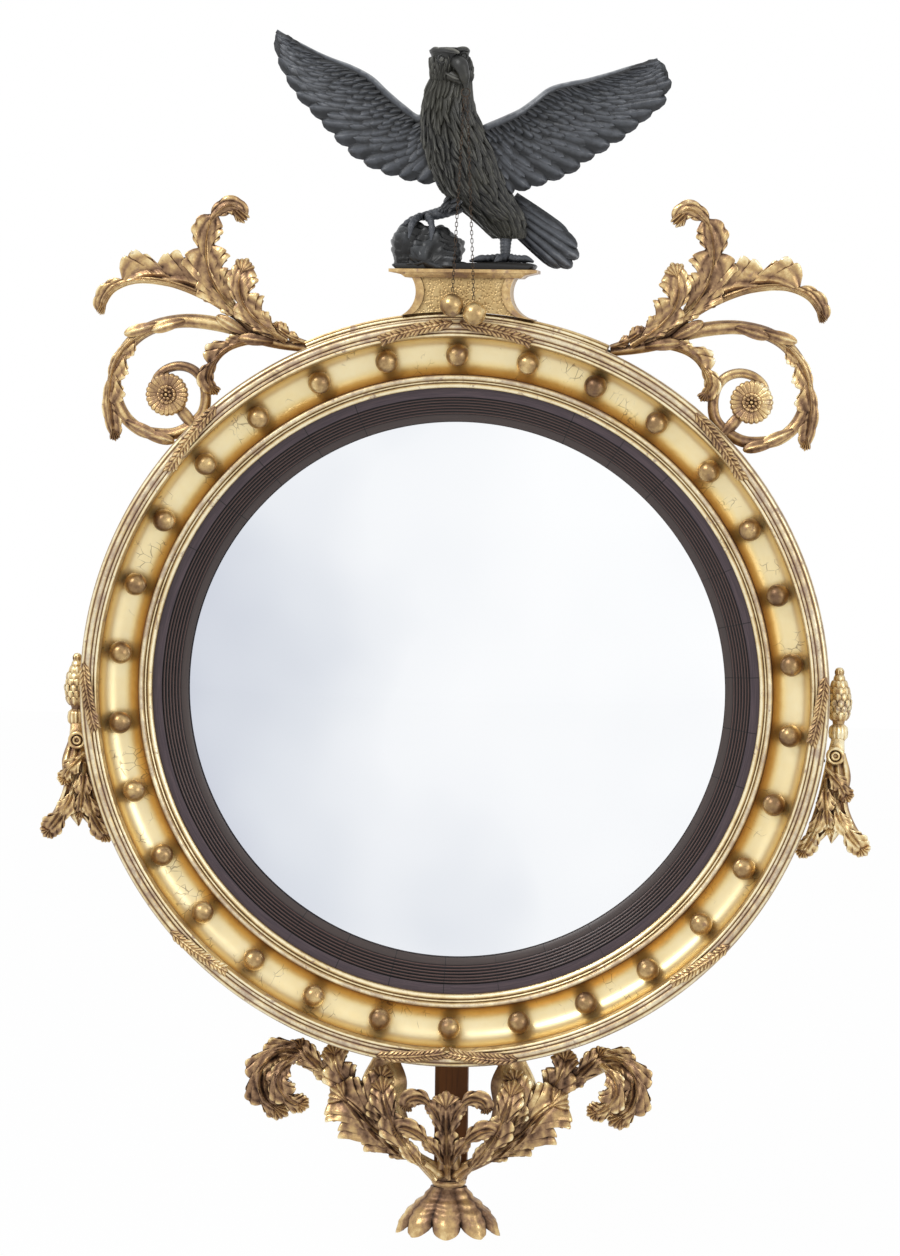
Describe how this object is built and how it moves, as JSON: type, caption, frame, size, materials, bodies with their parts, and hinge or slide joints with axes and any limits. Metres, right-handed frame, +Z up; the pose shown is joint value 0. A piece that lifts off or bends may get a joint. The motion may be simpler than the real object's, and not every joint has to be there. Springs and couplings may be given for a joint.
{
  "type": "convex wall mirror",
  "caption": "Round convex wall mirror in a gilt cove frame set with balls, with a carved eagle crest, side scrolls and a leaf apron.",
  "frame": {"origin": "centre of the backboard's rear face, on the mirror's axis, in the wall plane", "axes": "+Y into the wall, out of the back of the mirror; +Z up; +X to the right of someone who looks at the glass"},
  "size_m": [0.902, 0.1176, 1.3068],
  "materials": {
    "gilt_wood": "burnished and matt water gilding, worn to the red-brown ground",
    "ebonised_wood": "ebonised, satin",
    "black_carving": "black painted carving, satin",
    "silvered_glass": "silvered convex glass",
    "softwood": "plain aged softwood",
    "steel": "aged steel",
    "iron": "blackened iron",
    "dark_brass": "tarnished brass"
  },
  "bodies": {
    "frame": {"cove_ring": "gilt_wood", "inner_bead": "gilt_wood", "gilt_balls": "gilt_wood", "leaf_ties": "gilt_wood", "crest_rail": "gilt_wood", "crest_plinth": "gilt_wood", "plinth_panel": "gilt_wood", "plinth_stiles": "gilt_wood", "plinth_cap": "gilt_wood", "scroll_left": "gilt_wood", "scroll_right": "gilt_wood", "rosette_left": "gilt_wood", "rosette_right": "gilt_wood", "side_drop_left": "gilt_wood", "side_drop_right": "gilt_wood", "apron_spray_left": "gilt_wood", "apron_spray_right": "gilt_wood", "apron_inner_leaf_left": "gilt_wood", "apron_inner_leaf_right": "gilt_wood", "apron_centre_leaf": "gilt_wood", "apron_core": "gilt_wood", "apron_collar": "gilt_wood", "apron_drop": "gilt_wood", "reeded_rim": "gilt_wood", "ebonised_slip": "ebonised_wood", "eagle_body": "black_carving", "eagle_head": "black_carving", "eagle_wing_left": "black_carving", "eagle_wing_right": "black_carving", "eagle_tail": "black_carving", "eagle_leg_left": "black_carving", "eagle_leg_right": "black_carving", "eagle_rock": "black_carving", "mirror_plate": "silvered_glass", "glazing_blocks": "softwood", "backboard": "softwood", "crest_batten": "softwood", "apron_batten": "softwood", "eagle_dowels": "softwood", "backboard_screws": "steel", "crest_screws": "steel", "apron_screws": "steel", "plate_screws": "steel", "scroll_pins": "steel", "rosette_pins": "steel", "drop_pins": "steel", "hanging_plates": "iron"},
    "beak_ring": {"beak_ring": "dark_brass"},
    "left_top_link": {"top_link_left": "dark_brass"},
    "left_chain": {"chain_left": "dark_brass"},
    "left_hung_ball": {"hung_ball_left": "gilt_wood"},
    "right_top_link": {"top_link_right": "dark_brass"},
    "right_chain": {"chain_right": "dark_brass"},
    "right_hung_ball": {"hung_ball_right": "gilt_wood"}
  },
  "joints": [
    {"name": "beak_ring_swing", "type": "hinge", "parent": "frame", "child": "beak_ring", "pos_m": [0.009, -0.104, 0.647], "axis": [-1, 0, 0], "range_deg": [0, 30]},
    {"name": "left_link_swing", "type": "hinge", "parent": "beak_ring", "child": "left_top_link", "pos_m": [0.00717, -0.104, 0.63839], "axis": [-1, 0, 0], "range_deg": [0, 45]},
    {"name": "left_chain_sway", "type": "hinge", "parent": "left_top_link", "child": "left_chain", "pos_m": [0.00717, -0.104, 0.63439], "axis": [0, 1, 0], "range_deg": [0, 18]},
    {"name": "left_ball_nod", "type": "hinge", "parent": "left_chain", "child": "left_hung_ball", "pos_m": [-0.0024, -0.104, 0.43252], "axis": [1, 0, 0], "range_deg": [-20, 20]},
    {"name": "right_link_swing", "type": "hinge", "parent": "beak_ring", "child": "right_top_link", "pos_m": [0.01083, -0.104, 0.63839], "axis": [-1, 0, 0], "range_deg": [0, 45]},
    {"name": "right_chain_sway", "type": "hinge", "parent": "right_top_link", "child": "right_chain", "pos_m": [0.01083, -0.104, 0.63439], "axis": [0, -1, 0], "range_deg": [0, 18]},
    {"name": "right_ball_nod", "type": "hinge", "parent": "right_chain", "child": "right_hung_ball", "pos_m": [0.02043, -0.104, 0.42391], "axis": [1, 0, 0], "range_deg": [-20, 20]}
  ]
}
